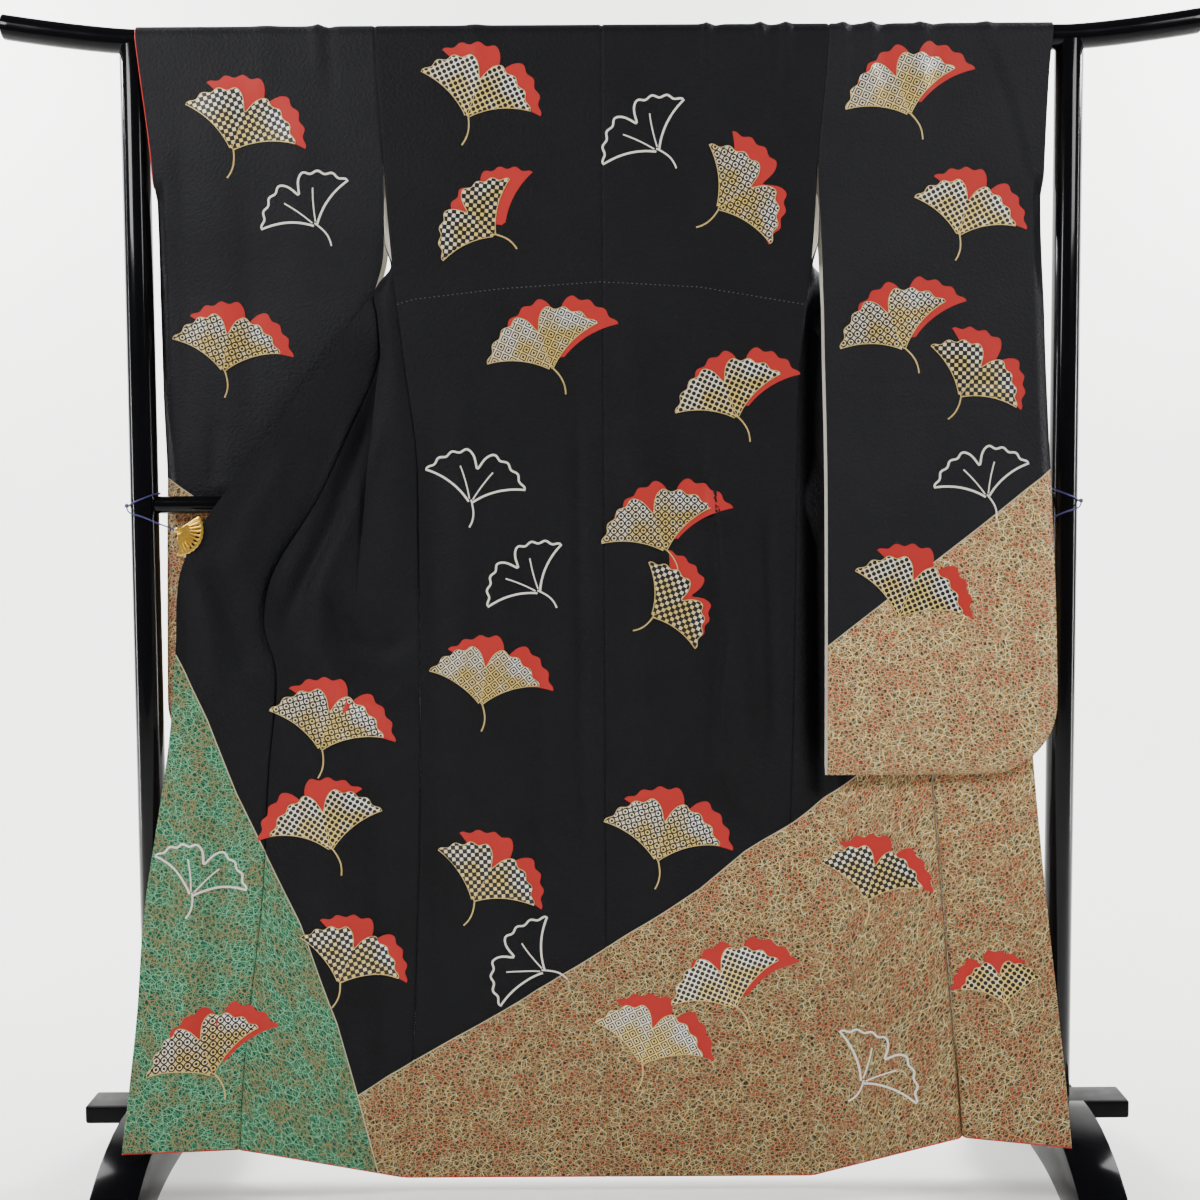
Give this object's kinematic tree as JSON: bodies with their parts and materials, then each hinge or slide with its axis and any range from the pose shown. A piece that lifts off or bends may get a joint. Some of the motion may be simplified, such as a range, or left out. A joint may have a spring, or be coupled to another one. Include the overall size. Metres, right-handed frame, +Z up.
{
  "type": "furisode on kimono stand",
  "caption": "Long-sleeved formal kimono hung open, back to the front, over the top rail of a black lacquered stand with arched feet.",
  "frame": {"origin": "on the floor, below the middle of the stand's top rail", "axes": "+Z up, +X along the rails to the right as seen from the front, -Y the side that the back of the garment faces"},
  "size_m": [1.6932, 0.58, 1.692],
  "materials": {
    "crepe": "matte silk crepe with a soft sheen, dyed",
    "lining": "plain white silk lining",
    "hem_lining": "plain dark brown silk hem lining",
    "piping": "red silk edge",
    "motif_foil": "gold and silver foil and thread laid on silk",
    "motif_red": "red silk thread laid on silk",
    "stitch": "white running stitches",
    "lacquer": "high gloss black lacquer over wood",
    "lacquer_satin": "satin black lacquer over wood",
    "gilt_brass": "polished gilt brass",
    "tie_cord": "twisted violet cord"
  },
  "bodies": {
    "root": {"body_left": "crepe", "body_right": "crepe", "overlap_left": "crepe", "overlap_right": "crepe", "collar_left": "crepe", "collar_right": "crepe", "sleeve_left": "crepe", "sleeve_right": "crepe", "top_rail": "lacquer", "rail_tip_left": "lacquer", "rail_tip_right": "lacquer", "post_left": "lacquer", "post_right": "lacquer", "middle_rail": "lacquer", "base_rail": "lacquer_satin", "foot_left": "lacquer", "foot_right": "lacquer", "clip_left": "gilt_brass", "clip_right": "gilt_brass", "loop_left": "tie_cord", "loop_right": "tie_cord", "knot_left": "tie_cord", "knot_right": "tie_cord", "tie_left": "tie_cord", "tie_right": "tie_cord"}
  },
  "joints": []
}
